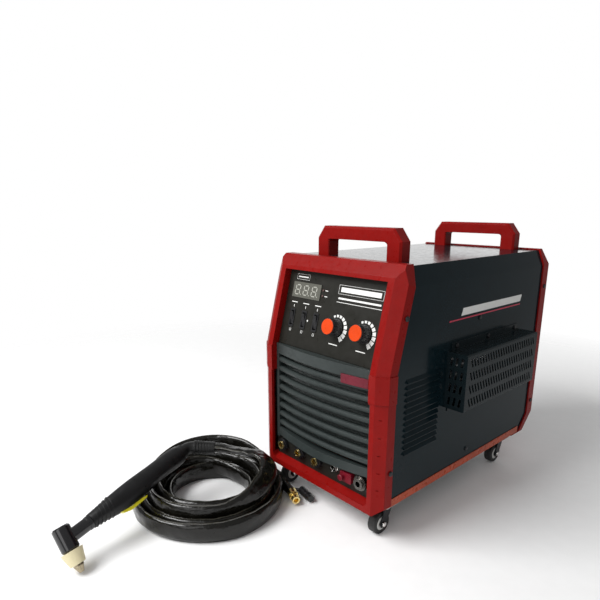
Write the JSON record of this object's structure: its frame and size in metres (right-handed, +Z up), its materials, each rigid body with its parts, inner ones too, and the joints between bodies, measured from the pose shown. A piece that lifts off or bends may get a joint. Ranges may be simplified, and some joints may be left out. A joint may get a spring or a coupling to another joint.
{
  "type": "plasma cutter unit",
  "caption": "Inverter plasma cutter cabinet on swivel casters with two carry handles, front dials and sockets, a hand torch and its coiled lead.",
  "frame": {"origin": "on the floor under the middle of the box of the cabinet and torch, without the lead", "axes": "+Z up, front of the cabinet faces -Y, +X to the right seen from the front"},
  "size_m": [0.4865, 0.938, 0.508],
  "materials": {
    "red_plastic": "glossy moulded",
    "cover_paint": "gloss dark blue-grey paint",
    "red_paint": "red painted steel",
    "dark_plastic": "satin dark grey-green",
    "panel_film": "dark printed film",
    "black_plastic": "black moulded",
    "orange_plastic": "orange cap",
    "badge_plastic": "crimson badge",
    "brass": "turned brass",
    "chrome": "bright plated",
    "display_window": "grey meter face",
    "lamp_red": "indicator lens",
    "steel": "zinc plated",
    "screw_black": "black oxide",
    "aluminium": "extruded",
    "board": "circuit board with capacitors",
    "winding": "varnished winding and core",
    "wheel_rubber": "black tyre on a pale hub",
    "grip_plastic": "black textured grip",
    "ceramic_cup": "cream ceramic",
    "nozzle_metal": "plated copper",
    "copper": "copper electrode",
    "trigger_yellow": "yellow trigger",
    "sheath": "glossy black lead sheath"
  },
  "bodies": {
    "cabinet": {"front_bezel": "red_plastic", "rear_bezel": "red_plastic", "front_handle": "red_plastic", "rear_handle": "red_plastic", "wrap_cover": "cover_paint", "side_vent_box": "cover_paint", "base_tray": "red_paint", "rear_panel": "cover_paint", "case_screws": "screw_black", "front_grille": "dark_plastic", "grille_badge": "badge_plastic", "control_panel": "panel_film", "connector_panel": "panel_film", "socket_bodies": "black_plastic", "socket_inserts": "brass", "control_socket": "chrome", "pilot_terminal": "badge_plastic", "torch_socket": "chrome", "switch_bodies": "black_plastic", "potentiometers": "steel", "meter": "display_window", "indicator_lamps": "lamp_red", "fan_frame": "black_plastic", "breaker_body": "black_plastic", "cable_gland": "black_plastic", "air_inlet": "brass", "solenoid_valve": "brass", "heat_sink": "aluminium", "transformer": "winding", "main_board": "board", "caster_plates": "steel"},
    "left_switch": {"left_rocker": "black_plastic"},
    "middle_switch": {"middle_rocker": "black_plastic"},
    "right_switch": {"right_rocker": "black_plastic"},
    "current_dial": {"current_knob": "black_plastic", "current_knob_cap": "orange_plastic"},
    "flow_dial": {"flow_knob": "black_plastic", "flow_knob_cap": "orange_plastic"},
    "fan": {"fan_rotor": "black_plastic"},
    "breaker": {"breaker_lever": "black_plastic"},
    "torch": {"torch_handle": "grip_plastic", "torch_head": "grip_plastic", "shield_cup": "ceramic_cup", "nozzle": "nozzle_metal", "electrode": "copper", "lead_boot": "grip_plastic", "lead_coil": "sheath", "lead_tail_torch": "sheath", "lead_tail_machine": "sheath", "air_fitting": "brass", "control_plug": "black_plastic"},
    "trigger": {"torch_trigger": "trigger_yellow"},
    "swivel_front_left": {"caster_fork_front_left": "screw_black"},
    "wheel_front_left": {"caster_wheel_front_left": "wheel_rubber"},
    "swivel_front_right": {"caster_fork_front_right": "screw_black"},
    "wheel_front_right": {"caster_wheel_front_right": "wheel_rubber"},
    "swivel_rear_left": {"caster_fork_rear_left": "screw_black"},
    "wheel_rear_left": {"caster_wheel_rear_left": "wheel_rubber"},
    "swivel_rear_right": {"caster_fork_rear_right": "screw_black"},
    "wheel_rear_right": {"caster_wheel_rear_right": "wheel_rubber"}
  },
  "joints": [
    {"name": "swivel_turn_front_left", "type": "hinge", "parent": "cabinet", "child": "swivel_front_left", "pos_m": [-0.09785, -0.01103, 0.05], "axis": [0, 0, 1], "continuous": true},
    {"name": "wheel_roll_front_left", "type": "hinge", "parent": "swivel_front_left", "child": "wheel_front_left", "pos_m": [-0.09785, -0.02503, 0.02], "axis": [1, 0, 0], "continuous": true},
    {"name": "swivel_turn_front_right", "type": "hinge", "parent": "cabinet", "child": "swivel_front_right", "pos_m": [0.13215, -0.01103, 0.05], "axis": [0, 0, 1], "continuous": true},
    {"name": "wheel_roll_front_right", "type": "hinge", "parent": "swivel_front_right", "child": "wheel_front_right", "pos_m": [0.13215, -0.02503, 0.02], "axis": [1, 0, 0], "continuous": true},
    {"name": "swivel_turn_rear_left", "type": "hinge", "parent": "cabinet", "child": "swivel_rear_left", "pos_m": [-0.09785, 0.37397, 0.05], "axis": [0, 0, 1], "continuous": true},
    {"name": "wheel_roll_rear_left", "type": "hinge", "parent": "swivel_rear_left", "child": "wheel_rear_left", "pos_m": [-0.09785, 0.35997, 0.02], "axis": [1, 0, 0], "continuous": true},
    {"name": "swivel_turn_rear_right", "type": "hinge", "parent": "cabinet", "child": "swivel_rear_right", "pos_m": [0.13215, 0.37397, 0.05], "axis": [0, 0, 1], "continuous": true},
    {"name": "wheel_roll_rear_right", "type": "hinge", "parent": "swivel_rear_right", "child": "wheel_rear_right", "pos_m": [0.13215, 0.35997, 0.02], "axis": [1, 0, 0], "continuous": true},
    {"name": "left_switch_tilt", "type": "hinge", "parent": "cabinet", "child": "left_switch", "pos_m": [-0.07635, -0.03696, 0.34514], "axis": [1, 0, 0], "range_deg": [-24, 0]},
    {"name": "middle_switch_tilt", "type": "hinge", "parent": "cabinet", "child": "middle_switch", "pos_m": [-0.04585, -0.03696, 0.34514], "axis": [1, 0, 0], "range_deg": [-24, 0]},
    {"name": "right_switch_tilt", "type": "hinge", "parent": "cabinet", "child": "right_switch", "pos_m": [-0.01535, -0.03696, 0.34514], "axis": [1, 0, 0], "range_deg": [-24, 0]},
    {"name": "current_knob_turn", "type": "hinge", "parent": "cabinet", "child": "current_dial", "pos_m": [0.03555, -0.04376, 0.34684], "axis": [0, -0.9701, 0.2425], "range_deg": [-300, 0]},
    {"name": "flow_knob_turn", "type": "hinge", "parent": "cabinet", "child": "flow_dial", "pos_m": [0.09705, -0.04376, 0.34684], "axis": [0, -0.9701, 0.2425], "range_deg": [-300, 0]},
    {"name": "fan_spin", "type": "hinge", "parent": "cabinet", "child": "fan", "pos_m": [0.01715, 0.42397, 0.3], "axis": [0, 1, 0], "continuous": true},
    {"name": "breaker_throw", "type": "hinge", "parent": "cabinet", "child": "breaker", "pos_m": [-0.06785, 0.43697, 0.19], "axis": [1, 0, 0], "range_deg": [0, 40]},
    {"name": "torch_carry", "type": "slide", "parent": "cabinet", "child": "torch", "axis": [0, -1, 0], "range_m": [0, 0.3]},
    {"name": "trigger_squeeze", "type": "hinge", "parent": "torch", "child": "trigger", "pos_m": [-0.14168, -0.35987, 0.05237], "axis": [-0.7975, -0.0913, -0.5964], "range_deg": [-6, 0], "stiffness_Nm_per_rad": 0.3, "springref_deg": 8.59}
  ]
}
